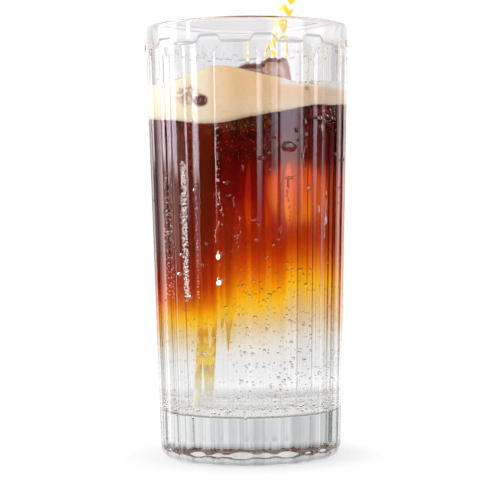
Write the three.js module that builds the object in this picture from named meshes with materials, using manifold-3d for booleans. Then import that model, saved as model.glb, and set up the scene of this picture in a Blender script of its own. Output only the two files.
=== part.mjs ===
// Espresso tonic in its tall fluted glass: the glass, a paper straw, one ice cube that pokes out,
// and the drink in layers, which are foam, espresso, an amber blend and clear tonic.
//
// Millimetres, +Z up. The origin is the centre of the glass's flat underside. The side that is
// looked at faces -Y, and an azimuth is counted from there towards +X.

import * as THREE from 'three';
import { mergeVertices } from 'three/addons/utils/BufferGeometryUtils.js';
import Module from 'manifold-3d';

// Driving dimensions of the glass
const GLASS_HEIGHT = 160;
const BAND_RADIUS = 38.05;
const RIDGE_RADIUS_LOW = 33.65;
const RIDGE_RADIUS_HIGH = 37.6;
const RIDGE_LOW_Z = 5.5;
const RIDGE_HIGH_Z = 152.5;
const WALL = 2.9;
const FLOOR_Z = 17.4;
const FLOOR_FILLET = 3.2;
const HEEL_RADIUS = 4.2;
const RIM_ROUND = 1.35;

// Driving dimensions of the flutes: twelve wide ones, and between them twelve raised panels,
// each with a narrow flute down its middle
const FLUTE_PAIRS = 12;
const COLUMNS_PER_PAIR = 8;
const FIRST_PANEL_AZIMUTH = 8.8;
const WIDE_FLUTE_DEPTH = 0.85;
const NARROW_FLUTE_DEPTH = 0.45;
const PANEL_TOP_Z = 153.6;
const WIDE_FLUTE_TOP_Z = 151.3;
const NARROW_FLUTE_TOP_Z = 150.2;
const SHOULDER_HEIGHT = 0.7;
const NARROW_FLUTE_FADE = 2.4;

// Driving dimensions of the drink
const GAP = 0.3;
const DRINK_COLUMNS = 64;
const FOAM_LEVEL = 137.5;
const ESPRESSO_LEVEL = 128.5;
const AMBER_LEVEL = 75;
const TONIC_LEVEL = 54;
const LAYER_TILT = 0.09;

// Driving dimensions of the straw, from its foot to where it leans on the rim
const STRAW_RADIUS = 2.6;
const STRAW_WALL = 0.45;
const STRAW_LENGTH = 197;
const STRAW_SIDES = 24;
const STRAW_FOOT = new THREE.Vector3(-17, -12, FLOOR_Z + 1.3);
const STRAW_LEAN = new THREE.Vector3(13, 29.1, 158.5);

// Driving dimensions of the ice cube
const ICE_EDGE = 27;
const ICE_ROUND = 5;
const ICE_SEGMENTS = 6;
const ICE_CENTRE = new THREE.Vector3(2.8, -9, 132.1);
const ICE_TURN = new THREE.Euler(
  THREE.MathUtils.degToRad(6),
  THREE.MathUtils.degToRad(-15),
  THREE.MathUtils.degToRad(18),
);

const wasm = await Module();
wasm.setup();

// A point on a ring at an azimuth in radians
function ringPoint(azimuth, radius, z) {
  return new THREE.Vector3(radius * Math.sin(azimuth), -radius * Math.cos(azimuth), z);
}

// A closed body through rings of points, from a pole below the first ring to one at the last.
// The rings run outwards along the underside, up the outside, and in over the top.
function bodyOfRings(rings, firstPole, lastPole) {
  const columns = rings[0].length;
  const points = [firstPole, ...rings.flat(), lastPole];
  const at = (ring, column) => 1 + ring * columns + (column % columns);
  const index = [];
  for (let column = 0; column < columns; column += 1) {
    index.push(0, at(0, column + 1), at(0, column));
    for (let ring = 0; ring + 1 < rings.length; ring += 1) {
      index.push(at(ring, column), at(ring + 1, column + 1), at(ring + 1, column));
      index.push(at(ring, column), at(ring, column + 1), at(ring + 1, column + 1));
    }
    index.push(at(rings.length - 1, column), at(rings.length - 1, column + 1), points.length - 1);
  }
  const geometry = new THREE.BufferGeometry().setFromPoints(points);
  geometry.setIndex(index);
  return geometry;
}

function toSolid(geometry) {
  const plain = geometry.clone();
  plain.deleteAttribute('normal');
  plain.deleteAttribute('uv');
  const merged = mergeVertices(plain);
  return new wasm.Manifold(new wasm.Mesh({
    numProp: 3,
    vertProperties: new Float32Array(merged.attributes.position.array),
    triVerts: new Uint32Array(merged.index.array),
  }));
}

function toGeometry(solid) {
  const mesh = solid.getMesh();
  const geometry = new THREE.BufferGeometry();
  geometry.setAttribute('position', new THREE.BufferAttribute(mesh.vertProperties, 3));
  geometry.setIndex(new THREE.BufferAttribute(mesh.triVerts, 1));
  return geometry;
}

function namedMesh(name, geometry, colour, roughness, look = {}) {
  geometry.computeVertexNormals();
  const material = new THREE.MeshStandardMaterial({ color: colour, roughness, metalness: 0, ...look });
  const mesh = new THREE.Mesh(geometry, material);
  mesh.name = name;
  return mesh;
}

// The glass's outer cone at the ridges, and its plain bore
function ridgeRadius(z) {
  const share = (z - RIDGE_LOW_Z) / (RIDGE_HIGH_Z - RIDGE_LOW_Z);
  return THREE.MathUtils.lerp(RIDGE_RADIUS_LOW, RIDGE_RADIUS_HIGH, share);
}

function boreRadius(z) {
  return ridgeRadius(z) - WALL;
}

// What each of the columns of one flute pair is: the panel with its narrow flute, then the wide one
const COLUMN_KINDS = [
  { panel: true, wide: 0, narrow: 1 },
  { panel: true, wide: 0, narrow: 0 },
  { panel: false, wide: 0, narrow: 0 },
  { panel: false, wide: 0.75, narrow: 0 },
  { panel: false, wide: 1, narrow: 0 },
  { panel: false, wide: 0.75, narrow: 0 },
  { panel: false, wide: 0, narrow: 0 },
  { panel: true, wide: 0, narrow: 0 },
];

function glassColumns() {
  const count = FLUTE_PAIRS * COLUMNS_PER_PAIR;
  return Array.from({ length: count }, (_, column) => ({
    azimuth: THREE.MathUtils.degToRad(FIRST_PANEL_AZIMUTH + (column * 360) / count),
    ...COLUMN_KINDS[column % COLUMNS_PER_PAIR],
  }));
}

function flutedRadius(column, z, wideShare, narrowShare) {
  const cut = column.wide * WIDE_FLUTE_DEPTH * wideShare + column.narrow * NARROW_FLUTE_DEPTH * narrowShare;
  return ridgeRadius(z) - cut;
}

function makeGlass() {
  const columns = glassColumns();
  const ring = (place) => columns.map((column) => {
    const [radius, z] = place(column);
    return ringPoint(column.azimuth, radius, z);
  });
  const top = (column) => (column.panel ? PANEL_TOP_Z : WIDE_FLUTE_TOP_Z);
  const fluted = (z, narrowShare) => ring((column) => [flutedRadius(column, z, 1, narrowShare), z]);
  const heel = (degrees, fluteShare) => {
    const turn = THREE.MathUtils.degToRad(degrees);
    const z = HEEL_RADIUS * (1 - Math.sin(turn));
    const inset = HEEL_RADIUS * (1 - Math.cos(turn));
    return ring((column) => [flutedRadius(column, z, fluteShare, fluteShare) - inset, z]);
  };
  const rimCentre = BAND_RADIUS - RIM_ROUND;
  const boreTop = BAND_RADIUS - WALL + 0.1;
  const rim = (degrees) => {
    const turn = THREE.MathUtils.degToRad(degrees);
    const reach = Math.cos(turn) > 0 ? rimCentre : boreTop + RIM_ROUND;
    const z = GLASS_HEIGHT - RIM_ROUND + RIM_ROUND * Math.sin(turn);
    return ring(() => [reach + RIM_ROUND * Math.cos(turn), z]);
  };
  const bore = (z) => ring(() => [boreRadius(z), z]);
  const fillet = (degrees) => {
    const turn = THREE.MathUtils.degToRad(degrees);
    const radius = boreRadius(FLOOR_Z) - FLOOR_FILLET * (1 - Math.cos(turn));
    const z = FLOOR_Z + FLOOR_FILLET * (1 - Math.sin(turn));
    return ring(() => [radius, z]);
  };
  const rings = [
    heel(90, 0),
    heel(60, 0.3),
    heel(30, 0.7),
    heel(0, 1),
    fluted(NARROW_FLUTE_TOP_Z - NARROW_FLUTE_FADE, 1),
    ring((column) => {
      const z = Math.min(NARROW_FLUTE_TOP_Z, top(column) - SHOULDER_HEIGHT - GAP);
      return [flutedRadius(column, z, 1, 0), z];
    }),
    ring((column) => {
      const z = top(column) - SHOULDER_HEIGHT;
      return [flutedRadius(column, z, 1, 0), z];
    }),
    ring((column) => [BAND_RADIUS - 0.05, top(column)]),
    ring(() => [BAND_RADIUS, GLASS_HEIGHT - 4]),
    rim(0),
    rim(35),
    rim(65),
    rim(90),
    rim(115),
    rim(145),
    rim(180),
    bore(GLASS_HEIGHT - 8),
    fillet(0),
    fillet(30),
    fillet(60),
    fillet(90),
  ];
  const geometry = bodyOfRings(rings, new THREE.Vector3(0, 0, 0), new THREE.Vector3(0, 0, FLOOR_Z));
  return namedMesh('glass', geometry, 0xdfe6e6, 0.03, { transparent: true, opacity: 0.3 });
}

// A soft hump or hollow round a point, for the wavy surfaces of the foam
function hump(x, y, centreX, centreY, height, width) {
  const distance = (x - centreX) ** 2 + (y - centreY) ** 2;
  return height * Math.exp(-distance / width ** 2);
}

function foamTop(x, y) {
  return FOAM_LEVEL
    + hump(x, y, -10, -33, 4.7, 14)
    + hump(x, y, 20, -28, -2.7, 6)
    + hump(x, y, 0, -6, 4.6, 17)
    + hump(x, y, 18, 22, 2.2, 13);
}

function foamUnderside(x, y) {
  return ESPRESSO_LEVEL + 0.072 * x + 0.084 * y
    + hump(x, y, -12, -32, -2.4, 14)
    + hump(x, y, 24, -26, 1.2, 9);
}

// A flat layer's top is a little higher on the right, where the ice holds the coffee up
function layerTop(level) {
  return (x) => level + LAYER_TILT * x;
}

// The drink's lowest surface: flat over the floor, and turned up a little wider than the fillet
function glassFloor(x, y) {
  const round = FLOOR_FILLET + 2 * GAP;
  const past = Math.hypot(x, y) - (boreRadius(FLOOR_Z) - GAP - round);
  const inRound = Math.min(Math.max(past, 0), round * 0.96);
  return FLOOR_Z + GAP / 2 + round - Math.sqrt(round ** 2 - inRound ** 2);
}

// One layer of the drink, between an underside and a top that are functions of x and y.
// Its rings lie closer together towards the wall, where it shows.
function makeLayer(underside, top, radialSteps) {
  const azimuths = Array.from({ length: DRINK_COLUMNS }, (_, n) => (n * 2 * Math.PI) / DRINK_COLUMNS);
  const surfaceRing = (height, share, offset) => azimuths.map((azimuth) => {
    const guess = ringPoint(azimuth, boreRadius(FOAM_LEVEL) * share, 0);
    const radius = (boreRadius(height(guess.x, guess.y)) - GAP) * share;
    const point = ringPoint(azimuth, radius, 0);
    return point.setZ(height(point.x, point.y) + offset);
  });
  const share = (step) => Math.sin((step / radialSteps) * (Math.PI / 2));
  const rings = [];
  for (let step = 1; step <= radialSteps; step += 1) {
    rings.push(surfaceRing(underside, share(step), GAP / 2));
  }
  for (let step = radialSteps; step >= 1; step -= 1) {
    rings.push(surfaceRing(top, share(step), -GAP / 2));
  }
  const first = new THREE.Vector3(0, 0, underside(0, 0) + GAP / 2);
  const last = new THREE.Vector3(0, 0, top(0, 0) - GAP / 2);
  return toSolid(bodyOfRings(rings, first, last));
}

// A cube with its edges and corners rounded as ice melts, placed where it floats
function makeIceGeometry(margin) {
  const half = ICE_EDGE / 2;
  const core = half - ICE_ROUND;
  const geometry = new THREE.BoxGeometry(
    ICE_EDGE, ICE_EDGE, ICE_EDGE, ICE_SEGMENTS, ICE_SEGMENTS, ICE_SEGMENTS,
  );
  const position = geometry.attributes.position;
  const point = new THREE.Vector3();
  const inner = new THREE.Vector3();
  for (let n = 0; n < position.count; n += 1) {
    point.fromBufferAttribute(position, n);
    inner.copy(point).clampScalar(-core, core);
    const outward = point.clone().sub(inner).normalize();
    point.copy(inner).addScaledVector(outward, ICE_ROUND + margin);
    point.applyEuler(ICE_TURN).add(ICE_CENTRE);
    position.setXYZ(n, point.x, point.y, point.z);
  }
  return geometry;
}

function strawFrame(object) {
  const along = STRAW_LEAN.clone().sub(STRAW_FOOT).normalize();
  object.position.copy(STRAW_FOOT);
  object.quaternion.setFromUnitVectors(new THREE.Vector3(0, 1, 0), along);
  object.updateMatrix();
  return object;
}

function makeStraw() {
  const inner = STRAW_RADIUS - STRAW_WALL;
  const profile = [
    new THREE.Vector2(inner, 0),
    new THREE.Vector2(STRAW_RADIUS, 0),
    new THREE.Vector2(STRAW_RADIUS, STRAW_LENGTH),
    new THREE.Vector2(inner, STRAW_LENGTH),
    new THREE.Vector2(inner, 0),
  ];
  const straw = namedMesh('straw', new THREE.LatheGeometry(profile, STRAW_SIDES), 0xf2d21f, 0.8);
  return strawFrame(straw);
}

// The room that the straw takes in the drink
function strawRoom() {
  const room = new THREE.CylinderGeometry(
    STRAW_RADIUS + GAP, STRAW_RADIUS + GAP, STRAW_LENGTH, STRAW_SIDES / 2,
  );
  room.translate(0, STRAW_LENGTH / 2 - 2 * STRAW_RADIUS, 0);
  room.applyMatrix4(strawFrame(new THREE.Object3D()).matrix);
  return toSolid(room);
}

const straw = makeStraw();
const room = strawRoom();
const iceRoom = toSolid(makeIceGeometry(GAP));

const layers = [
  {
    name: 'foam', underside: foamUnderside, top: foamTop, steps: 7, colour: 0xf3dcb8, roughness: 0.7,
  },
  {
    name: 'espresso', underside: layerTop(AMBER_LEVEL), top: foamUnderside, steps: 5,
    colour: 0x3a0d05, roughness: 0.1,
  },
  {
    name: 'amber', underside: layerTop(TONIC_LEVEL), top: layerTop(AMBER_LEVEL), steps: 2,
    colour: 0xe07a12, roughness: 0.1,
  },
  {
    name: 'tonic', underside: glassFloor, top: layerTop(TONIC_LEVEL), steps: 5,
    colour: 0xe6e4dc, roughness: 0.05,
  },
];

const group = new THREE.Group();
group.add(makeGlass(), straw);
group.add(namedMesh('ice', makeIceGeometry(0), 0x8a5a48, 0.15));
for (const layer of layers) {
  const solid = makeLayer(layer.underside, layer.top, layer.steps).subtract(room).subtract(iceRoom);
  group.add(namedMesh(layer.name, toGeometry(solid), layer.colour, layer.roughness));
}

export default group;
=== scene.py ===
# %% [markdown]
# # Espresso tonic in a tall fluted glass
#
# A pressed highball glass with vertical flutes holds clear tonic, an amber blend and dark espresso
# under a layer of tan foam. An ice cube pokes through the foam, and a yellow and white paper straw
# leans on the rim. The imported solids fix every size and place. This file gives them their looks.

# %% Load the frame
import math

import bmesh
import bpy
import numpy as np
from mathutils import Matrix, Vector


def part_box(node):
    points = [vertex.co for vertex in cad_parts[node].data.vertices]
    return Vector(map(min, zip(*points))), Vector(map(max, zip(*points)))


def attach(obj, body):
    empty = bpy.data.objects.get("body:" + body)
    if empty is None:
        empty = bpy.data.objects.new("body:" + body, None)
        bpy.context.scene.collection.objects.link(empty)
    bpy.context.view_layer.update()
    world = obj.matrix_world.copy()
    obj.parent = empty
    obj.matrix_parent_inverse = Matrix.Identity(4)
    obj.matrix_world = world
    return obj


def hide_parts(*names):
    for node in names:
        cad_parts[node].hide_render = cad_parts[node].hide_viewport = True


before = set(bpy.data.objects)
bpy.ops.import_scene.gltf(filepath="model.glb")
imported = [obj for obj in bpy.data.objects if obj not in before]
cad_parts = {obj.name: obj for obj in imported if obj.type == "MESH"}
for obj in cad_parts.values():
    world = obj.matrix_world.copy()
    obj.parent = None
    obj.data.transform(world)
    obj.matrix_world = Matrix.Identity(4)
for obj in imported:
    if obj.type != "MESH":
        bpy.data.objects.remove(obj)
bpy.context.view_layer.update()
MM = 0.001
WHITE = (1.0, 1.0, 1.0)
BLACK = (0.0, 0.0, 0.0)
print("nodes of the frame:", sorted(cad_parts))

# %% [markdown]
# ## The camera
#
# The photograph was taken from about half the glass's height with a long lens: the lip is seen from
# a little below and the foot from a little above. A long lens keeps the glass's sides nearly
# straight, so the distance is more than half a metre.

# %% Camera at the photograph's angle
PHOTO_SIDE = 500
FOCAL_PIXELS = 1643
SENSOR = 36.0
DISTANCE = 615 * MM
EYE_HEIGHT = 91.4 * MM
AIM = Vector((0.35 * MM, 0.0, 76.8 * MM))
ROLL = math.radians(-0.6)


def make_camera():
    data = bpy.data.cameras.new("camera")
    data.sensor_width = SENSOR
    data.lens = FOCAL_PIXELS / PHOTO_SIDE * SENSOR
    data.clip_start = 0.01
    data.clip_end = 100.0
    camera = bpy.data.objects.new("camera", data)
    bpy.context.scene.collection.objects.link(camera)
    eye = Vector((AIM.x, -DISTANCE, EYE_HEIGHT))
    facing = (AIM - eye).to_track_quat("-Z", "Y").to_matrix().to_4x4()
    camera.matrix_world = Matrix.Translation(eye) @ facing @ Matrix.Rotation(ROLL, 4, "Z")
    bpy.context.scene.camera = camera
    return camera


camera = make_camera()
print("lens", round(camera.data.lens, 1), "mm")

# %% [markdown]
# ## Writing node graphs as sums
#
# Shader and geometry trees are easier to read as sums than as boxes. `Wire` stands for one output
# of a node, and the signs + - * / on it add Math nodes. `Graph.node` adds any other node: its type,
# then its settings, then what goes into its sockets.

# %% Wires and graphs
def sign(operation, reflected=False):
    """The method for one arithmetic sign. Reflected, the wire is on its right, as in 1 - mask."""
    def apply(wire, value):
        values = (value, wire) if reflected else (wire, value)
        return wire.graph.math(operation, *values)
    return apply


class Wire:
    """One output socket, with the arithmetic signs."""

    def __init__(self, graph, socket):
        self.graph, self.socket = graph, socket

    def other(self, name):
        """Another output of the same node."""
        return Wire(self.graph, self.socket.node.outputs[name])

    def math(self, operation, *values):
        return self.graph.math(operation, self, *values)

    __add__ = __radd__ = sign("ADD")
    __mul__ = __rmul__ = sign("MULTIPLY")
    __sub__, __rsub__ = sign("SUBTRACT"), sign("SUBTRACT", True)
    __truediv__, __rtruediv__ = sign("DIVIDE"), sign("DIVIDE", True)
    __pow__, __rpow__ = sign("POWER"), sign("POWER", True)

    def __neg__(self):
        return self * -1.0

    def ramp(self, low, high, at_low=0.0, at_high=1.0):
        """Goes smoothly from one value at low to another at high, and stays there outside."""
        sockets = {"Value": self, "From Min": low, "From Max": high, "To Min": at_low, "To Max": at_high}
        return self.graph.node("ShaderNodeMapRange", sockets, interpolation_type="SMOOTHSTEP")

    def ramp_mm(self, low, high, at_low=0.0, at_high=1.0):
        """The same between two lengths in millimetres."""
        return self.ramp(low * MM, high * MM, at_low, at_high)


class Graph:
    """A node tree under construction."""

    def __init__(self, tree):
        self.tree = tree
        self.tree.nodes.clear()

    def feed(self, socket, value):
        if isinstance(value, Wire):
            self.tree.links.new(value.socket, socket)
        else:
            socket.default_value = value

    def node(self, kind, sockets=None, out=0, stops=None, **settings):
        """Adds a node, sets its settings and a ramp's stops, and then feeds its sockets."""
        node = self.tree.nodes.new(kind)
        for name, value in settings.items():
            setattr(node, name, value)
        if stops:
            elements = node.color_ramp.elements
            while len(elements) < len(stops):
                elements.new(0.5)
            for element, (place, colour) in zip(elements, stops):
                element.position = place
                element.color = (*colour, 1.0)
        for key, value in (sockets or {}).items():
            self.feed(node.inputs[key], value)
        return Wire(self, node.outputs[out]) if node.outputs else node

    def math(self, operation, *values):
        return self.node("ShaderNodeMath", dict(enumerate(values)), operation=operation)

    def vector(self, operation, *values, out=0, **named):
        sockets = {**dict(enumerate(values)), **named}
        return self.node("ShaderNodeVectorMath", sockets, out, operation=operation)

    def split(self, vector):
        """x, y and z of a vector."""
        x = self.node("ShaderNodeSeparateXYZ", {0: vector})
        return x, x.other("Y"), x.other("Z")

    def place(self):
        """Object coordinates of the point being shaded, and its x, y and z."""
        point = self.node("ShaderNodeTexCoord", out="Object")
        return point, *self.split(point)

    def noise(self, point, scale, detail=3.0):
        return self.node("ShaderNodeTexNoise", {"Vector": point, "Scale": scale, "Detail": detail})

    def mix(self, share, first, second):
        """A mix of two colours. The node keeps its colour sockets at these numbers."""
        first, second = (c if isinstance(c, Wire) else (*c, 1.0) for c in (first, second))
        return self.node("ShaderNodeMix", {"Factor": share, 6: first, 7: second}, out=2, data_type="RGBA")

    def mottled(self, scale, first, second, between=None):
        """Two tones of one finish, mixed by noise over the piece."""
        tone = self.noise(self.place()[0], scale)
        return self.mix(tone.ramp(*between) if between else tone, first, second)

    def near(self, point, centre, reach, edge):
        """1 within reach of a centre, 0 past an edge further out. Reach may differ by axis."""
        offset = self.vector("SUBTRACT", point, tuple(v * MM for v in centre))
        scaled = self.vector("DIVIDE", offset, tuple(v * MM for v in reach))
        return self.vector("LENGTH", scaled, out="Value").ramp(1.0, 1.0 + edge, 1.0, 0.0)


def finish_of(name, make):
    """A material whose graph is filled by make(graph), which returns the shader's sockets."""
    material = bpy.data.materials.new(name)
    material.use_nodes = True
    graph = Graph(material.node_tree)
    shader = graph.node("ShaderNodeBsdfPrincipled", make(graph))
    graph.node("ShaderNodeOutputMaterial", {"Surface": shader})
    print("finish:", name)
    return material


def band(value, low, high, soft):
    """1 between two values, 0 outside, with soft ends."""
    return value.ramp(low - soft, low + soft) * value.ramp(high - soft, high + soft, 1.0, 0.0)


def band_of(value, low, high, soft):
    """The same for lengths in millimetres."""
    return band(value, low * MM, high * MM, soft * MM)


def distance_of(x, y):
    """How far x and y together are from 0, such as a place from the glass's axis."""
    return (x * x + y * y) ** 0.5


def bump(graph, height, depth, strength):
    return graph.node("ShaderNodeBump", {"Height": height, "Distance": depth, "Strength": strength})


def clear(colour, ior):
    """The shader's sockets for a smooth, clear glass or liquid."""
    return {"Base Color": colour, "Roughness": 0.0, "IOR": ior, "Transmission Weight": 1.0}


def glowing(colour, strength):
    return {"Emission Color": colour, "Emission Strength": strength}


# %% [markdown]
# ## The forms that the solids give
#
# The glass's cone, its bore and the foam's wavy surfaces follow the same rules as the solids, so a
# finer mesh drawn by them lies on the solid's faces. All the lengths here are millimetres and are
# turned into metres when a mesh is made.

# %% Rules shared by the pieces
GLASS_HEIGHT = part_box("glass")[1][2] / MM
BAND_RADIUS = 38.04
# Radius and height of two places on the ridges between the flutes
RIDGE_LOW = (33.65, 5.5)
RIDGE_HIGH = (37.6, 152.5)
WALL = 2.9
FLOOR = 17.4
FILLET = 3.2
HEEL = 4.2
RIM_ROUND = 1.35
# How far the drink and the foam reach into the wall
INTO_WALL = 0.15
# Where the bore's wall stands under the foam and over it
BORE_UNDER_FOAM = 34.0
BORE_OVER_FOAM = 34.2


def ridge_radius(z):
    share = (z - RIDGE_LOW[1]) / (RIDGE_HIGH[1] - RIDGE_LOW[1])
    return RIDGE_LOW[0] + share * (RIDGE_HIGH[0] - RIDGE_LOW[0])


def bore_radius(z):
    return ridge_radius(z) - WALL


def floor_corner(degrees, reach):
    """Radius and height on the rounding of the floor's corner, this far into the glass."""
    turn = math.radians(degrees)
    across, down = (FILLET + reach) * math.cos(turn), (FILLET + reach) * math.sin(turn)
    return bore_radius(FLOOR) - FILLET + across, FLOOR + FILLET - down


def hump(x, y, centre_x, centre_y, height, width):
    return height * np.exp(-((x - centre_x) ** 2 + (y - centre_y) ** 2) / width**2)


def foam_top(x, y):
    level = 137.5 + hump(x, y, -10, -33, 4.7, 14) + hump(x, y, 20, -28, -2.7, 6)
    return level + hump(x, y, 0, -6, 4.6, 17) + hump(x, y, 18, 22, 2.2, 13)


def foam_underside(x, y):
    level = 128.5 + 0.072 * x + 0.084 * y
    return level + hump(x, y, -12, -32, -2.4, 14) + hump(x, y, 24, -26, 1.2, 9)


print("glass", round(GLASS_HEIGHT, 1), "mm high, bore", round(2 * bore_radius(100), 1), "mm wide")

# %% [markdown]
# ## Meshes from rings
#
# Nearly every piece here is round, so its surface is a stack of rings between two poles. The rings
# run outwards along the underside, up the outside and in over the top, which makes every face
# point outwards.

# %% Ring meshes
def object_of(name, points, faces):
    """A smooth object from points in metres and its faces' corners."""
    mesh = bpy.data.meshes.new(name)
    mesh.from_pydata(np.asarray(points).tolist(), [], faces)
    mesh.shade_smooth()
    piece = bpy.data.objects.new(name, mesh)
    bpy.context.scene.collection.objects.link(piece)
    print(name, "is made of", len(mesh.polygons), "faces")
    return piece


def mesh_from_rings(name, rings, first_pole, last_pole):
    """rings is an array of ring, column and x, y, z, in millimetres."""
    rings = np.asarray(rings, dtype=float)
    count, columns = rings.shape[:2]
    points = np.vstack([first_pole, rings.reshape(-1, 3), last_pole]) * MM
    here = list(range(1, columns + 1))
    after = here[1:] + here[:1]
    faces = [(0, b, a) for a, b in zip(here, after)]
    for low in range(0, (count - 1) * columns, columns):
        high = low + columns
        faces += [(a + low, b + low, b + high, a + high) for a, b in zip(here, after)]
    top, last = (count - 1) * columns, len(points) - 1
    faces += [(a + top, b + top, last) for a, b in zip(here, after)]
    return object_of(name, points, faces)


def turn_of(columns):
    """Azimuths of evenly spaced columns, from the front towards +X."""
    return np.linspace(0, 2 * np.pi, columns, endpoint=False)


def on_ring(azimuth, radius, z):
    radius, z = np.broadcast_to(radius, azimuth.shape), np.broadcast_to(z, azimuth.shape)
    return np.stack([radius * np.sin(azimuth), -radius * np.cos(azimuth), z], axis=1)


def ring_of(azimuths, radius, surface):
    """x, y and z of a ring of this radius on a wavy surface."""
    x, y = np.sin(azimuths) * radius, -np.cos(azimuths) * radius
    return x, y, surface(x, y)


def wear(piece, material):
    piece.data.materials.clear()
    piece.data.materials.append(material)
    print(piece.name, "wears", material.name)


# %% [markdown]
# ## Geometry node trees
#
# A tree is built once, gets its sizes through named inputs, and is run on a mesh. It ends in
# Realize Instances and Set Material, and its result is turned into a plain mesh, because only
# plain meshes are exported.

# %% Building and running a tree
def new_tree(name, **inputs):
    """A geometry tree with named inputs of each kind, and its graph and input node."""
    tree = bpy.data.node_groups.new(name, "GeometryNodeTree")
    for kind, labels in {"Geometry": ["Geometry"], **inputs, "Material": ["Material"]}.items():
        for label in labels:
            tree.interface.new_socket(label, in_out="INPUT", socket_type="NodeSocket" + kind)
    tree.interface.new_socket("Geometry", in_out="OUTPUT", socket_type="NodeSocketGeometry")
    graph = Graph(tree)
    return tree, graph, graph.node("NodeGroupInput")


def end_tree(graph, given, geometry):
    """Sets the material last of all and hands the geometry out."""
    worn = graph.node("GeometryNodeSetMaterial", {"Geometry": geometry, "Material": given.other("Material")})
    graph.node("NodeGroupOutput", {"Geometry": worn})


def run_tree(piece, tree, values):
    """Runs the tree on the piece with these values and keeps the result as a plain mesh."""
    modifier = piece.modifiers.new(tree.name, "NODES")
    modifier.node_group = tree
    for item in tree.interface.items_tree:
        if item.in_out == "INPUT" and item.name in values:
            modifier[item.identifier] = values[item.name]
    graph = bpy.context.evaluated_depsgraph_get()
    result = bpy.data.meshes.new_from_object(piece.evaluated_get(graph))
    piece.modifiers.remove(modifier)
    piece.data = result
    print(piece.name, "has", len(result.polygons), "faces")
    return piece


# %% [markdown]
# ## The fluted glass
#
# The real glass is pressed: twelve wide flutes run up it, and between them twelve raised panels
# each carry a narrow flute. Under the lip the panels end a little higher than the flutes, which
# makes the scalloped line. The flutes follow one rule round the glass, so a plain turned tumbler
# is made first, and a geometry tree then sinks the flutes into it.

# %% The plain tumbler
FLUTE_PAIRS = 12
FIRST_PANEL = 8.8
PANEL_TOP = 153.6
FLUTE_DROP = 2.3
WIDE_DEPTH = 0.85
NARROW_DEPTH = 0.45
BACK_LIFT = 0.5
GLASS_COLUMNS = 720
# How far under the panels' top the narrow flutes start to fade, and where they are gone
FADE_START = 6.5
FADE_END = 2.9
# The rounded step from the ridges out to the band under the lip
STEP_START = -0.5
STEP_HEIGHT = 0.9
# Half widths of the two cuts, as shares of the way from one panel to the next
WIDE_HALF = 0.25
NARROW_HALF = 0.125


def tumbler_profile():
    """Rows of radius, z, share of the wide cut, share of the narrow cut, and share of the drop."""
    rows = [(r, 0.0, 0, 0, 0) for r in (6, 14, 22, 27)]
    for degrees in range(90, -1, -10):
        turn = math.radians(degrees)
        z = HEEL * (1 - math.sin(turn))
        share = 1 - degrees / 90
        rows.append((ridge_radius(z) - HEEL * (1 - math.cos(turn)), z, share, share, 0))
    for z in np.linspace(7, PANEL_TOP - FADE_START, 24):
        rows.append((ridge_radius(z), z, 1, 1, 0))
    for share in np.linspace(0.125, 1, 8):
        z = PANEL_TOP - FADE_START + share * (FADE_START - FADE_END)
        rows.append((ridge_radius(z), z, 1, 1 - share, share))
    for z in PANEL_TOP - FADE_END + np.arange(1, 6) * 0.46:
        rows.append((ridge_radius(z), z, 1, 0, 1))
    for share in np.linspace(0.125, 1, 8):
        eased = share * share * (3 - 2 * share)
        z = PANEL_TOP + STEP_START + share * STEP_HEIGHT
        rows.append((ridge_radius(z) * (1 - eased) + BAND_RADIUS * eased, z, 1 - eased, 0, 1))
    for z in np.linspace(PANEL_TOP + STEP_HEIGHT, GLASS_HEIGHT - RIM_ROUND, 6):
        rows.append((BAND_RADIUS, z, 0, 0, max(0.0, 1 - (z - PANEL_TOP) / 2.2)))
    bore_top = BAND_RADIUS - WALL + 0.1
    for degrees in range(15, 181, 15):
        turn = math.radians(degrees)
        centre = BAND_RADIUS - RIM_ROUND if degrees < 90 else bore_top + RIM_ROUND
        z = GLASS_HEIGHT - RIM_ROUND + RIM_ROUND * math.sin(turn)
        rows.append((centre + RIM_ROUND * math.cos(turn), z, 0, 0, 0))
    for z in np.linspace(GLASS_HEIGHT - 5, FLOOR + FILLET, 24):
        rows.append((bore_radius(z), z, 0, 0, 0))
    for degrees in range(15, 91, 15):
        rows.append((*floor_corner(degrees, 0.0), 0, 0, 0))
    rows += [(r, FLOOR, 0, 0, 0) for r in (22, 14, 6)]
    return np.array(rows, dtype=float)


profile = tumbler_profile()
azimuths = turn_of(GLASS_COLUMNS)
glass = mesh_from_rings(
    "glass_body", [on_ring(azimuths, row[0], row[1]) for row in profile], (0, 0, 0), (0, 0, FLOOR)
)
for label, column in (("wide_share", 2), ("narrow_share", 3), ("drop_share", 4)):
    layer = glass.data.attributes.new(label, "FLOAT", "POINT")
    shares = np.concatenate([[0], np.repeat(profile[:, column], GLASS_COLUMNS), [0]])
    layer.data.foreach_set("value", shares)
print("tumbler:", len(profile), "rings,", len(glass.data.vertices), "points")
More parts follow.
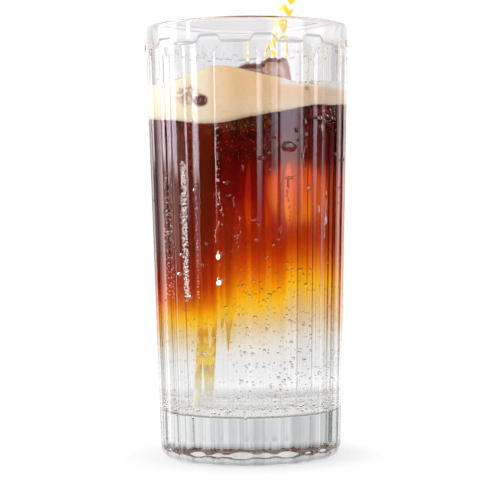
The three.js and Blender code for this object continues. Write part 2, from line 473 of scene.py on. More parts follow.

# %% [markdown]
# Pressed glass isn't quite colourless. Soda glass has a grey-green cast that shows most in the
# thick foot, and the mould leaves a faint waviness. The foot also has painted shade, darker towards
# the right. All follow object coordinates, so they stay where they are on the glass and can be baked.

# %% Pressed glass
def pressed_glass(graph):
    point, x, y, z = graph.place()
    foot = z.ramp_mm(16.8, 19, 1.0, 0.0) * distance_of(x, y).ramp_mm(30.5, 31.5)
    # The foot's grey-green cast, with painted shade that makes it darker towards the right
    foot_cast_and_shade = graph.mix(x.ramp_mm(-34, -2), (0.87, 0.905, 0.895), (0.47, 0.515, 0.505))
    around = graph.node("ShaderNodeCombineXYZ", {"X": x.math("ARCTAN2", -y) * 4.5})
    streaks = graph.noise(around, 1.0).ramp(0.42, 0.58)
    foot_cast_and_shade = graph.mix(streaks * 0.5, foot_cast_and_shade, (0.93, 0.955, 0.95))
    colour = graph.mix(foot, (0.955, 0.965, 0.965), foot_cast_and_shade)
    waves = graph.noise(point, 60.0, 2.0)
    return {**clear(colour, 1.5), "Normal": bump(graph, waves, 0.05 * MM, 0.35)}


glass_finish = finish_of("pressed_glass", pressed_glass)

# %% [markdown]
# Each cut is a shallow round channel, so its depth falls off with the square of the distance from
# its middle. At the back the step under the lip starts half a millimetre higher, which makes it
# steeper, so that less of it shows through the glass as a dark line.

# %% Sinking the flutes
def flute_tree():
    floats = ["First panel", "Wide depth", "Narrow depth", "Drop", "Back lift"]
    tree, graph, given = new_tree("flutes", Int=["Pairs"], Float=floats)
    place = graph.node("GeometryNodeInputPosition")
    x, y, _ = graph.split(place)
    azimuth = x.math("ARCTAN2", -y)
    turned = (azimuth - given.other("First panel")) * given.other("Pairs") / (2 * math.pi)
    # 0 in the middle of a panel, 0.5 in the middle of a wide flute
    from_panel = (turned - turned.math("ROUND")).math("ABSOLUTE")
    across_wide = (0.5 - from_panel) / WIDE_HALF
    across_narrow = from_panel / NARROW_HALF
    wide = (1.0 - across_wide * across_wide).math("SMOOTH_MAX", 0.0, 0.1)
    narrow = (1.0 - across_narrow * across_narrow).math("SMOOTH_MAX", 0.0, 0.15)
    wide_share, narrow_share, drop_share = (
        graph.node("GeometryNodeInputNamedAttribute", {"Name": label}, out="Attribute")
        for label in ("wide_share", "narrow_share", "drop_share")
    )
    cut = wide * wide_share * given.other("Wide depth") + narrow * narrow_share * given.other("Narrow depth")
    outward = graph.vector("NORMALIZE", graph.vector("MULTIPLY", place, (1.0, 1.0, 0.0)))
    inwards = graph.vector("SCALE", outward, Scale=-cut)
    fall = from_panel.ramp(0.15, 0.26) * drop_share * given.other("Drop")
    behind = y.ramp_mm(0, 12)
    lift = behind * wide_share * drop_share * given.other("Back lift")
    offset = graph.vector("ADD", inwards, graph.node("ShaderNodeCombineXYZ", {"Z": lift - fall}))
    moved = graph.node("GeometryNodeSetPosition", {"Geometry": given, "Offset": offset})
    end_tree(graph, given, graph.node("GeometryNodeRealizeInstances", {"Geometry": moved}))
    return tree


cuts = {
    "Pairs": FLUTE_PAIRS,
    "First panel": math.radians(FIRST_PANEL),
    "Wide depth": WIDE_DEPTH * MM,
    "Narrow depth": NARROW_DEPTH * MM,
    "Drop": FLUTE_DROP * MM,
    "Back lift": BACK_LIFT * MM,
    "Material": glass_finish,
}
run_tree(glass, flute_tree(), cuts)
glass.data.shade_smooth()

# %% [markdown]
# ## The drink
#
# Espresso poured slowly onto tonic floats on it. It is almost black under the foam, glows red and
# then amber where it thins, and the tonic under it is clear. One body of liquid reaches just into
# the wall, so light passes from glass to liquid with no air between.

# %% The body of liquid
DRINK_COLUMNS = 192
# The liquid's highest straight ring, and how far it reaches up into the foam
DRINK_TOP = 118
INTO_FOAM = 0.4


def make_drink():
    azimuths = turn_of(DRINK_COLUMNS)
    low = FLOOR - INTO_WALL
    rings = [on_ring(azimuths, radius, low) for radius in (8, 16, 24)]
    for degrees in range(90, -1, -10):
        rings.append(on_ring(azimuths, *floor_corner(degrees, INTO_WALL)))
    for z in np.linspace(FLOOR + FILLET + 3, DRINK_TOP, 24):
        rings.append(on_ring(azimuths, bore_radius(z) + INTO_WALL, z))
    for share in (1.0, 0.97, 0.85, 0.6, 0.3):
        z = ring_of(azimuths, BORE_UNDER_FOAM * share, foam_underside)[2] + INTO_FOAM
        rings.append(on_ring(azimuths, (bore_radius(z) + INTO_WALL) * share, z))
    return mesh_from_rings("drink", rings, (0, 0, low), (0, 0, foam_underside(0.0, 0.0) + INTO_FOAM))


drink = make_drink()

# %% [markdown]
# Its colour is worked out from the height, tilted a little and stirred by noise, so the layers
# meet in no sharp line. Painted shade and painted light are mixed in on top.

# %% Espresso, amber and tonic
WATER_IOR = 1.333
LOWEST_STOP = 26
HIGHEST_STOP = 124
# Painted light in the espresso, as if ice behind it let light through: x and z, and half the width and the
# height
PAINTED_GLOW_CENTRE = (17.0, 97.5)
PAINTED_GLOW_REACH = (10.5, 13.0)
# Height in millimetres and the colour that the liquid gives there
LIQUID_STOPS = [
    (26, (1.00, 1.00, 0.99)),
    (31, (0.87, 0.88, 0.87)),
    (38, (0.85, 0.85, 0.83)),
    (43, (0.85, 0.80, 0.68)),
    (48, (0.79, 0.62, 0.37)),
    (53, (0.87, 0.56, 0.15)),
    (57, (1.00, 0.55, 0.015)),
    (61, (0.97, 0.39, 0.002)),
    (65, (0.84, 0.19, 0.0006)),
    (69, (0.68, 0.095, 0.0005)),
    (74, (0.53, 0.038, 0.0006)),
    (79, (0.38, 0.022, 0.001)),
    (90, (0.33, 0.010, 0.001)),
    (97, (0.20, 0.001, 0.0005)),
    (107, (0.125, 0.0006, 0.0004)),
    (112, (0.060, 0.0005, 0.0004)),
    (117, (0.090, 0.001, 0.0005)),
    (124, (0.125, 0.008, 0.0007)),
]


def along_sight(y, x):
    """The liquid's cylinder draws the back wall together, so what is behind counts twice as far out."""
    return x * y.ramp_mm(-15, 15, 1.0, 2.0)


def liquid_colour(graph, point, x, y, z):
    """The colour that the drink has at this place, and its height in the layers."""
    across = along_sight(y, x)
    stir = graph.noise(point, 38.0, 2.5) - 0.5
    sinks_left = across.ramp_mm(-14, -8, 10 * MM, 0.0)
    rises_right = across.ramp_mm(8, 16, 0.0, 7.0 * MM)
    fades_down = z.ramp_mm(42, 68, 0.4, 1.0)
    height = z + (sinks_left - rises_right) * fades_down + stir * (6 * MM)
    span = HIGHEST_STOP - LOWEST_STOP
    stops = [((place - LOWEST_STOP) / span, colour) for place, colour in LIQUID_STOPS]
    share = (height / MM - LOWEST_STOP) / span
    layers = graph.node("ShaderNodeValToRGB", {"Fac": share}, stops=stops)
    # Painted shade at the left of the amber and over that in the espresso, and painted light from behind at
    # the right
    stirred = z + stir * 0.01
    shaded = band_of(across, -26, -17, 2.5) * band_of(z, 58, 82, 7)
    painted_shade_above = across.ramp_mm(-16, -9, 1.0, 0.0) * band_of(stirred, 74, 112, 6)
    lit = across.ramp_mm(8, 15) * band_of(stirred, 84, 106, 6)
    layers = graph.mix(shaded * 0.75, layers, (0.17, 0.010, 0.001))
    layers = graph.mix(painted_shade_above * 0.85, layers, (0.13, 0.012, 0.0015))
    layers = graph.mix(lit * 0.75, layers, (0.60, 0.055, 0.004))
    # Painted light: a glowing patch, redder at its top, as if ice behind the espresso let light through
    glow_x, glow_z = (
        (place - centre * MM) / (reach * MM)
        for place, centre, reach in zip((across, z), PAINTED_GLOW_CENTRE, PAINTED_GLOW_REACH)
    )
    painted_glow = (distance_of(glow_x, glow_z) + stir * 0.6).ramp(0.65, 1.1, 1.0, 0.0)
    core = graph.mix(z.ramp_mm(91, 101), (1.0, 0.22, 0.006), (1.0, 0.13, 0.012))
    return graph.mix(painted_glow * 0.95, layers, core), height


def layered_drink(graph):
    point, x, y, z = graph.place()
    colour, height = liquid_colour(graph, point, x, y, z)
    dust = graph.noise(point, 1900.0, 2.0).ramp(0.64, 0.72) * band_of(z, 114, 130, 7)
    colour = graph.mix(dust * 0.8, colour, (0.75, 0.30, 0.03))
    # In front, a thin grey line of painted shade where the drink meets the floor's edge
    at_wall = distance_of(x, y).ramp_mm(26, 29) * y.ramp_mm(-6, 0, 1.0, 0.0)
    painted_floor_shade = band_of(z, FLOOR - 0.3, FLOOR + 0.7, 0.25) * at_wall
    return clear(graph.mix(painted_floor_shade * 0.8, colour, (0.30, 0.28, 0.26)), WATER_IOR)


wear(drink, finish_of("layered_drink", layered_drink))

# %% [markdown]
# ## The foam
#
# The foam is what is left of the espresso's crema, whipped up by the tonic's gas. It lies in a
# mound against the front of the glass and is thinner on the right. Light goes a few millimetres
# into it, so it has subsurface scattering, and its surface is pitted by fine bubbles.

# %% The foam's body
FOAM_COLUMNS = 288
# How far the wet edge of the foam climbs the wall, and over what share of the radius
CLIMB = 0.5
CLIMB_REACH = 0.03


def make_foam():
    azimuths = turn_of(FOAM_COLUMNS)
    rings = []
    for share in np.linspace(0.06, 1, 12):
        z = ring_of(azimuths, BORE_UNDER_FOAM * share, foam_underside)[2]
        rings.append(on_ring(azimuths, (bore_radius(z) + INTO_WALL) * share, z))
    low = ring_of(azimuths, BORE_UNDER_FOAM, foam_underside)[2]
    high = ring_of(azimuths, BORE_UNDER_FOAM, foam_top)[2] + CLIMB
    for step in np.linspace(0.12, 0.94, 8):
        z = low + (high - low) * step
        rings.append(on_ring(azimuths, bore_radius(z) + INTO_WALL, z))
    for share in np.concatenate([[1.0, 0.985, 0.965, 0.94], np.linspace(0.91, 0.02, 60)]):
        z = ring_of(azimuths, BORE_OVER_FOAM * share, foam_top)[2]
        z = z + CLIMB * math.exp(-((1 - share) / CLIMB_REACH))
        rings.append(on_ring(azimuths, (bore_radius(z) + INTO_WALL) * share, z))
    return mesh_from_rings(
        "foam_body", rings, (0, 0, foam_underside(0.0, 0.0)), (0, 0, foam_top(0.0, 0.0))
    )


foam = make_foam()

# %% [markdown]
# The foam isn't one tan: swirls of coffee run through it, its left is paler with painted light from
# the window's side, the froth at the right edge is nearly white, and each open bubble is darker at
# the bottom of its pit, as painted shade.


# %% Coffee foam
def coffee_foam(graph):
    point, x, y, z = graph.place()
    swirl = graph.noise(point, 45.0)
    grain = graph.noise(point, 1400.0, 2.0)
    cells = graph.node("ShaderNodeTexVoronoi", {"Vector": point, "Scale": 900.0}, out="Distance")
    colour = graph.mix(swirl.ramp(0.35, 0.65), (0.96, 0.65, 0.36), (0.98, 0.71, 0.43))
    # Painted light from the window's side makes the left paler
    painted_light_left = (x + swirl * (10 * MM)).ramp_mm(-13, 0, 1.0, 0.0)
    paler_right = x.ramp_mm(8, 30, 0.0, 0.6)
    # Painted light low down, which undoes the foam's shade over the dark drink
    painted_light_below = z.ramp_mm(128, 134, 0.6, 0.0)
    colour = graph.mix(painted_light_left, colour, (1.0, 0.89, 0.70))
    colour = graph.mix(paler_right, colour, (0.92, 0.76, 0.60))
    colour = graph.mix(painted_light_below, colour, (1.0, 0.82, 0.58))
    edge = distance_of(x, y).ramp_mm(25, 31) * x.ramp_mm(9, 14)
    froth = (z + swirl * (3 * MM)).ramp_mm(136.5, 138.5) * edge
    colour = graph.mix(froth, colour, (0.96, 0.93, 0.88))
    colour = graph.mix(grain.ramp(0.55, 0.8) * 0.35, colour, (0.97, 0.88, 0.74))
    # Painted shade at the bottom of each open bubble's pit
    colour = graph.mix(cells.ramp(0.0, 0.16, 0.35, 0.0), colour, (0.62, 0.38, 0.20))
    # A wet, brown place against the glass, and a small dark stain under it
    mottle = graph.noise(point, 900.0)
    wet = graph.near(point, (-20.6, -28.0, 133.0), (3.4, 8, 2.6), 0.7) * mottle.ramp(0.36, 0.62)
    stain = graph.near(point, (-16.2, -29.8, 130.8), (1.7, 8, 1.5), 0.8) * mottle.ramp(0.28, 0.45)
    colour = graph.mix(wet * 0.8, colour, (0.36, 0.20, 0.14))
    return {
        "Base Color": graph.mix(stain, colour, (0.15, 0.04, 0.02)),
        "Roughness": 0.55,
        "Subsurface Weight": 0.5,
        "Subsurface Radius": (1.0, 0.7, 0.4),
        "Subsurface Scale": 2.5 * MM,
        "Normal": bump(graph, cells.ramp(0.0, 0.45), 0.2 * MM, 0.5),
    }


wear(foam, finish_of("coffee_foam", coffee_foam))

# %% [markdown]
# ## The ice cube that pokes out
#
# A cube from a tray, its edges rounded by melting. Its place and turn are the solid's. A finer
# rounded cube is drawn from the same sizes, and shallow waves melt its faces.

# %% The ice cube
ICE_EDGE = 27.0
ICE_ROUND = 5.0
ICE_CENTRE = Vector((2.8, -9.0, 132.1))
# The solid is turned about X, then Y, then Z of the turning cube
ICE_TURN = [(6, "X"), (-15, "Y"), (18, "Z")]
ICE_MELT = 0.35
ICE_STEPS = 40
ICE_SEED = 4


def ice_matrix():
    x, y, z = (Matrix.Rotation(math.radians(degrees), 3, axis) for degrees, axis in ICE_TURN)
    return x @ y @ z


def cube_grid(edge, segments):
    """Points and faces of a cube whose sides are grids that share their edges."""
    steps = np.linspace(-0.5, 0.5, segments + 1) * edge
    index, points, faces = {}, [], []
    for axis in range(3):
        for side in (-1, 1):
            for a, b in [(i, j) for i in range(segments) for j in range(segments)]:
                square = []
                for u, v in ((a, b), (a + 1, b), (a + 1, b + 1), (a, b + 1)):
                    point = np.zeros(3)
                    point[axis] = side * edge / 2
                    point[(axis + 1) % 3], point[(axis + 2) % 3] = steps[u], steps[v]
                    key = tuple(np.round(point, 6))
                    if key not in index:
                        index[key] = len(points)
                        points.append(point)
                    square.append(index[key])
                faces.append(square if side > 0 else square[::-1])
    return np.array(points), faces


def melted_cube():
    """The rounded cube, with waves melted into it."""
    random = np.random.default_rng(ICE_SEED)
    points, faces = cube_grid(ICE_EDGE, ICE_STEPS)
    core = ICE_EDGE / 2 - ICE_ROUND
    inner = np.clip(points, -core, core)
    outward = points - inner
    outward /= np.linalg.norm(outward, axis=1)[:, None]
    waves = np.zeros(len(points))
    points = inner + outward * ICE_ROUND
    for _ in range(6):
        direction = random.normal(size=3)
        direction /= np.linalg.norm(direction)
        waves += np.sin(points @ direction * random.uniform(0.25, 0.7) + random.uniform(0, 6.28))
    points = points - outward * (ICE_MELT * (0.5 + waves[:, None] / 12))
    turned = points @ np.array(ice_matrix()).T + np.array(ICE_CENTRE)
    return object_of("ice_poking_out", turned * MM, faces)


ice = melted_cube()

# %% [markdown]
# Cloudy ice with a crust of coffee over its upper edge. On the flat top the film of coffee is thin
# and patchy. The crust follows the cube's own upright, which leans with it.


# %% Ice stained by coffee
def stained_ice(graph):
    point, x, y, z = graph.place()
    up = ice_matrix() @ Vector((0, 0, 1))
    height = x * up.x + y * up.y + z * up.z
    top = (ICE_CENTRE.dot(up) + ICE_EDGE / 2) * MM
    ragged = (graph.noise(point, 260.0) - 0.5) * (4.0 * MM)
    crust = (height + ragged).ramp(top - 2.2 * MM, top - 1.7 * MM)
    flat_top = height.ramp(top - 0.9 * MM, top - 0.4 * MM)
    patches = graph.noise(point, 170.0).ramp(0.38, 0.58)
    crust = crust * (1.0 - flat_top * patches * 0.75)
    cloudy = graph.noise(point, 180.0, 4.0).ramp(0.4, 0.65)
    body = graph.mix(cloudy, (0.60, 0.40, 0.32), (0.84, 0.69, 0.60))
    return {
        "Base Color": graph.mix(crust, body, (0.10, 0.022, 0.014)),
        "Roughness": graph.noise(point, 150.0).ramp(0.35, 0.7, 0.05, 0.3),
        "IOR": 1.31,
        "Transmission Weight": 0.7,
        "Normal": bump(graph, graph.noise(point, 300.0), 0.25 * MM, 0.4),
    }


wear(ice, finish_of("stained_ice", stained_ice))

# %% [markdown]
# ## The paper straw
#
# Three plies of paper wound into a tube, printed with yellow chevrons. The print follows the
# paper, so it is drawn in the straw's own UV map: U runs round it and V runs along it.

# %% The straw
STRAW_FOOT = Vector((-17, -12, FLOOR + 1.3))
STRAW_LEAN = Vector((13, 29.1, 158.5))
STRAW_RADIUS = 2.6
STRAW_BORE = 2.15
STRAW_LENGTH = 197.0
STRAW_COLUMNS = 64
STRAW_END_ROUND = 0.12


def make_straw():
    along = (STRAW_LEAN - STRAW_FOOT).normalized()
    turn = Vector((0, 0, 1)).rotation_difference(along).to_matrix().to_4x4()
    place = Matrix.Translation(STRAW_FOOT * MM) @ turn
    inner, outer = STRAW_BORE + STRAW_END_ROUND, STRAW_RADIUS - STRAW_END_ROUND
    low, high = STRAW_END_ROUND, STRAW_LENGTH - STRAW_END_ROUND
    profile = [(STRAW_BORE, v) for v in np.linspace(high, low, 30)] + [(inner, 0.0), (outer, 0.0)]
    profile += [(STRAW_RADIUS, v) for v in np.linspace(low, high, 120)]
    profile += [(outer, STRAW_LENGTH), (inner, STRAW_LENGTH)]
    points = [
        place @ (Vector((radius * math.cos(a), radius * math.sin(a), v)) * MM)
        for radius, v in profile
        for a in [2 * math.pi * column / STRAW_COLUMNS for column in range(STRAW_COLUMNS)]
    ]
    faces, uvs = [], []
    for row in range(len(profile)):
        below = (row + 1) % len(profile)
        for column in range(STRAW_COLUMNS):
            around = ((column, row), (column + 1, row), (column + 1, below), (column, below))
            faces.append([r * STRAW_COLUMNS + c % STRAW_COLUMNS for c, r in around])
            for c, r in around:
                uvs += [c / STRAW_COLUMNS, profile[r][1] / STRAW_LENGTH]
    piece = object_of("straw_paper", points, faces)
    piece.data.uv_layers.new(name="print").data.foreach_set("uv", uvs)
    return piece


straw = make_straw()
print("straw:", STRAW_LENGTH, "mm long")

# %% [markdown]
# Three chevrons go round the tube, each a zigzag of yellow ink. Above the drink the paper is dry
# and matt. In the tonic the print has faded to gold and has a painted glow at half its colour, and in
# the coffee the paper is black and has a painted glow in the liquid's own colour.

# %% Printed paper
CHEVRON_PITCH = 4.9
CHEVRON_COUNT = 3


def printed_paper(graph):
    point, x, y, z = graph.place()
    turned, along, _ = graph.split(graph.node("ShaderNodeUVMap", uv_map="print"))
    zigzag = ((turned * CHEVRON_COUNT + 0.5).math("FRACT") - 0.5).math("ABSOLUTE") * 2.0
    along = along * (STRAW_LENGTH / CHEVRON_PITCH)
    ink = ((along + zigzag * 0.55).math("FRACT") - 0.5).math("ABSOLUTE")
    ink = (ink + graph.noise(point, 900.0, 2.0) * 0.03).ramp(0.25, 0.29)
    fibres = graph.noise(point, 1500.0)
    paper = graph.mix(fibres, (0.80, 0.80, 0.77), (0.90, 0.90, 0.88))
    yellow = graph.mix(fibres, (0.78, 0.55, 0.005), (0.92, 0.70, 0.01))
    around, height = liquid_colour(graph, point, x, y, z)
    # Painted light: in the coffee the paper glows with the liquid's colour
    painted_glow = graph.node("ShaderNodeGamma", {"Color": around, "Gamma": 0.5})
    in_drink = z.ramp_mm(126, 136, 1.0, 0.0)
    in_coffee = height.ramp_mm(50, 62) * in_drink
    faded = graph.mottled(250.0, (0.62, 0.36, 0.01), (0.95, 0.72, 0.10), (0.4, 0.6))
    faded = graph.mix(z.ramp_mm(24, 36, 0.9, 0.0), faded, (0.86, 0.86, 0.82))
    wet = graph.mix(in_drink * 0.75, graph.mix(ink, paper, yellow), faded)
    # Painted light: in the drink the paper glows at half its colour
    painted_glow_in_drink = graph.mix(in_drink * 0.5, BLACK, wet)
    return {
        "Base Color": graph.mix(in_coffee, wet, BLACK),
        "Roughness": 0.6,
        **glowing(graph.mix(in_coffee * 0.85, painted_glow_in_drink, painted_glow), 1.0),
        "Normal": bump(graph, fibres, 0.03 * MM, 0.5),
    }


wear(straw, finish_of("printed_paper", printed_paper))

# %% [markdown]
# ## Bubbles and drops
#
# Gas gathers in small bubbles on the inside of the glass and over its floor, and moist air leaves
# drops on the outside. One geometry tree scatters them all: it spreads points over a patch, lets
# them drift a little, puts a small sphere on each, and joins the spheres into one mesh. Each point
# also keeps how far it faces up, so that a finish can be darker on one side of every bubble.

# %% A tree that scatters small spheres
def scatter_tree():
    floats = ["Count", "Smallest", "Largest"]
    tree, graph, given = new_tree("scatter", Float=floats, Vector=["Drift", "Squash"], Int=["Seed"])
    seed, smallest = given.other("Seed"), given.other("Smallest")
    points = graph.node(
        "GeometryNodeDistributePointsOnFaces",
        {"Mesh": given, "Density": given.other("Count"), "Seed": seed},
        distribute_method="RANDOM",
    )
    chance = graph.node(
        "FunctionNodeRandomValue", {"Min": (-1.0, -1.0, -1.0), "Max": (1.0, 1.0, 1.0), "Seed": seed + 1.0},
        data_type="FLOAT_VECTOR",
    )
    drift = graph.vector("MULTIPLY", chance, given.other("Drift"))
    moved = graph.node("GeometryNodeSetPosition", {"Geometry": points, "Offset": drift})
    size = graph.node("FunctionNodeRandomValue", {"Seed": seed + 2.0}, out=1, data_type="FLOAT")
    # The power makes most of them small
    radius = smallest + size ** 2.5 * (given.other("Largest") - smallest)
    scale = graph.vector("SCALE", given.other("Squash"), Scale=radius)
    ball = graph.node("GeometryNodeMeshUVSphere", {"Radius": 1.0, "Segments": 8, "Rings": 5})
    placed = graph.node(
        "GeometryNodeInstanceOnPoints",
        {"Points": moved, "Instance": ball, "Rotation": points.other("Rotation"), "Scale": scale},
    )
    joined = graph.node("GeometryNodeRealizeInstances", {"Geometry": placed})
    smooth = graph.node("GeometryNodeSetShadeSmooth", {"Geometry": joined})
    facing = graph.split(graph.node("GeometryNodeInputNormal"))
    told = graph.node(
        "GeometryNodeStoreNamedAttribute",
        {"Geometry": smooth, "Name": "faces_up", "Value": facing[2]},
        data_type="FLOAT", domain="POINT",
    )
    end_tree(graph, given, told)
    return tree


SCATTER = scatter_tree()
ROUND = (1.0, 1.0, 1.0)
FLAT = (1.0, 1.0, 0.45)


def scattered(patch, per_square_cm, sizes, drift, seed, material, squash=ROUND):
    """Small spheres over a patch, with the smallest and largest radius and the drift in millimetres."""
    values = {
        "Count": per_square_cm * 1e4,
        "Smallest": sizes[0] * MM,
        "Largest": sizes[1] * MM,
        "Drift": tuple(v * MM for v in drift),
        "Squash": squash,
        "Seed": seed,
        "Material": material,
    }
    return run_tree(patch, SCATTER, values)


# %% Patches for them to lie on
PATCH_ROWS = 12
FOAM_PATCH = (40, 5)


def patch_of(name, rows):
    """A strip of small faces between rows of points in millimetres."""
    columns = len(rows[0])
    faces = [
        (r * columns + c, r * columns + c + 1, (r + 1) * columns + c + 1, (r + 1) * columns + c)
        for r in range(len(rows) - 1)
        for c in range(columns - 1)
    ]
    return object_of(name, np.concatenate(rows) * MM, faces)


def azimuths_between(first, last, columns):
    """Evenly spaced azimuths between two in degrees."""
    return np.radians(np.linspace(first, last, columns))


def wall_patch(name, radius_at, low, high, first, last, columns=12):
    """A strip of a round wall, between two heights and two azimuths in degrees."""
    azimuths = azimuths_between(first, last, columns)
    heights = np.linspace(low, high, PATCH_ROWS)
    return patch_of(name, [on_ring(azimuths, radius_at(z, azimuths), z) for z in heights])


def floor_patch(name, inner, outer, above, columns=24):
    """A ring that lies this far above the glass's floor."""
    azimuths = azimuths_between(0, 360, columns)
    return patch_of(name, [on_ring(azimuths, radius, FLOOR + above) for radius in (inner, outer)])


def foam_patch(name, inner, outer, first, last):
    """A strip of the foam's top, between two radii and two azimuths in degrees."""
    columns, rows = FOAM_PATCH
    azimuths = azimuths_between(first, last, columns)
    rings = [ring_of(azimuths, radius, foam_top) for radius in np.linspace(inner, outer, rows)]
    return patch_of(name, [np.stack(ring, axis=1) for ring in rings])


def inside_wall(gap):
    return lambda z, azimuth: bore_radius(z) - gap


def outside_wall(z, azimuth):
    """The glass's outer radius with its flutes, by the rule that the flute tree follows."""
    turned = (azimuth - math.radians(FIRST_PANEL)) * FLUTE_PAIRS / (2 * math.pi)
    from_panel = np.abs(turned - np.round(turned))
    wide = np.maximum(0, 1 - ((0.5 - from_panel) / WIDE_HALF) ** 2)
    narrow = np.maximum(0, 1 - (from_panel / NARROW_HALF) ** 2)
    return ridge_radius(z) - wide * WIDE_DEPTH - narrow * NARROW_DEPTH


print("bore at the fizz:", round(bore_radius(50), 1), "mm; ridges there:", round(ridge_radius(50), 1), "mm")

# %% [markdown]
# A gas bubble in a liquid bends light the other way than a drop does, so its IOR is under 1: that
# of air seen from water. In the photograph each bubble has a bright ring and a dark, warm cap.

# %% Gas and water
def faces_up(graph):
    """1 where the piece faces up, -1 where it faces down."""
    return graph.node("ShaderNodeAttribute", out="Fac", attribute_name="faces_up")


def gas_bubble(graph):
    tone = graph.mottled(300.0, (0.80, 0.77, 0.75), WHITE, (0.4, 0.6))
    # Painted shade: a dark, warm cap on the upper side of each bubble, with a faint painted glow over all of
    # it
    colour = graph.mix(faces_up(graph).ramp(0.35, 0.75), tone, (0.36, 0.18, 0.10))
    return {**clear(colour, 0.75), **glowing((*WHITE, 1.0), 0.10)}


def water_drop(graph):
    return clear(graph.mottled(300.0, (0.97, 0.98, 0.98), WHITE), WATER_IOR)


def foam_bubble(graph):
    colour = graph.mottled(400.0, (0.95, 0.78, 0.60), (1.0, 0.97, 0.92))
    return {"Base Color": colour, "Roughness": 0.08, "IOR": 1.33, "Transmission Weight": 0.6}


gas = finish_of("gas_bubble", gas_bubble)
crema_bubble = finish_of("foam_bubble", foam_bubble)
water = finish_of("water_drop", water_drop)

# %% Scattering them
UP_DOWN = (0, 0, 2)
in_front = wall_patch("fizz_front", inside_wall(1.2), 22, 72, -10, 45)
around = wall_patch("fizz_around", inside_wall(1.6), 20, 64, 45, 350)
over_floor = floor_patch("fizz_floor", 8, 26, 1.2)
along_edge = floor_patch("fizz_rim", 26.8, 29.8, 2.3, 60)
fizz = [
    scattered(in_front, 15, (0.36, 0.8), (1, 1, 2), 3, gas),
    scattered(around, 7, (0.2, 0.6), (1, 1, 2), 5, gas),
    scattered(over_floor, 5, (0.25, 0.6), (1, 1, 0.5), 7, gas),
    scattered(along_edge, 42, (0.3, 0.9), (0.5, 0.5, 1.3), 8, gas),
]
right_edge = foam_patch("crema_right", 27.5, 34.2, 24, 96)
whole_top = foam_patch("crema_all", 16, 33.5, 96, 384)
crema = [
    scattered(right_edge, 60, (0.25, 0.9), (0.6, 0.6, 0.3), 31, crema_bubble),
    scattered(whole_top, 9, (0.2, 0.7), (1, 1, 0.2), 33, crema_bubble),
]
front = wall_patch("dew_front", outside_wall, 60, 150, -60, 60, 97)
behind = wall_patch("dew_back", outside_wall, 40, 150, 60, 300, 193)
dew = [
    scattered(front, 0.8, (0.25, 0.7), UP_DOWN, 11, water, FLAT),
    scattered(behind, 1.0, (0.25, 0.8), UP_DOWN, 13, water, FLAT),
]

# %% [markdown]
# The largest drops and runs of water sit where the photograph has them. Each is given by its turn
# from the front in degrees, its height, and its half width and half height in millimetres. A run is
# a chain of small beads that wanders as it goes down.

# %% The large drops and the runs
DROPS = [
    (24.0, 114.0, 2.5, 1.6), (28.5, 120.0, 0.5, 0.8), (29.5, 116.5, 0.4, 0.5), (33.5, 123.0, 0.7, 0.9),
    (34.0, 118.5, 0.7, 0.7), (32.0, 111.0, 0.45, 0.9), (14.5, 117.5, 0.5, 0.8), (9.5, 114.5, 0.35, 0.4),
    (7.5, 110.0, 1.1, 0.7), (-3.0, 106.5, 0.35, 0.9), (-12.5, 101.5, 0.8, 0.6), (-11.5, 97.0, 0.6, 0.5),
    (24.0, 103.0, 1.5, 0.45), (23.5, 101.0, 0.4, 1.3), (36.5, 99.5, 0.9, 0.6), (3.0, 88.5, 1.2, 0.5),
    (5.5, 86.8, 0.8, 0.5), (-17.0, 76.3, 0.75, 1.0), (-17.2, 67.0, 0.85, 0.95), (44.0, 92.0, 0.5, 1.2),
    (52.0, 88.0, 0.6, 1.6), (43.0, 124.5, 1.6, 0.6), (46.0, 121.0, 0.7, 1.1), (-33.0, 123.5, 0.4, 0.5),
    (-32.5, 99.0, 0.5, 0.7), (-43.0, 76.0, 0.7, 0.5), (-45.0, 69.0, 0.9, 0.6), (18.5, 84.5, 0.5, 1.0),
    (-8.0, 83.0, 1.0, 0.5), (14.0, 79.5, 0.6, 0.4), (10.0, 75.0, 0.6, 0.35), (-37.5, 61.0, 0.8, 0.5),
]
RUNS = [
    (-16.5, 99.0, -15.0, 86.0), (-17.5, 88.0, -19.5, 80.0), (-8.5, 96.0, -5.5, 86.0),
    (-5.5, 84.0, -7.5, 78.0), (23.5, 99.0, 24.5, 88.0), (-41.0, 100.0, -43.0, 82.0),
    (33.5, 117.0, 33.0, 106.0), (52.0, 98.0, 51.0, 82.0),
]
# Beads on a run: their spacing, the share that is left out, and how far they stray in degrees
BEAD_SPACING = 0.62
BEAD_GAPS = 0.35
BEAD_STRAY = 0.3
# The drops' edges run a little into the glass, so their meshes are this much wider than they look
DROP_SPREAD = 1.25


def beads_of(first_turn, first_z, last_turn, last_z, random):
    count = int(abs(first_z - last_z) / BEAD_SPACING)
    shares = np.linspace(0, 1, count)
    wander = 0.7 * np.sin(shares * 6 + random.uniform(0, 6)) + random.normal(0, BEAD_STRAY, count)
    for share, aside in zip(shares, wander):
        if random.uniform() < BEAD_GAPS:
            continue
        turn = first_turn + (last_turn - first_turn) * share + aside
        z = first_z + (last_z - first_z) * share
        yield turn, z, random.uniform(0.14, 0.3), random.uniform(0.25, 0.55)


def unit_ball():
    """Points and triangles of a small round ball."""
    shape = bmesh.new()
    bmesh.ops.create_icosphere(shape, subdivisions=3, radius=1.0)
    points = np.array([v.co for v in shape.verts])
    triangles = np.array([[v.index for v in f.verts] for f in shape.faces])
    shape.free()
    return points, triangles


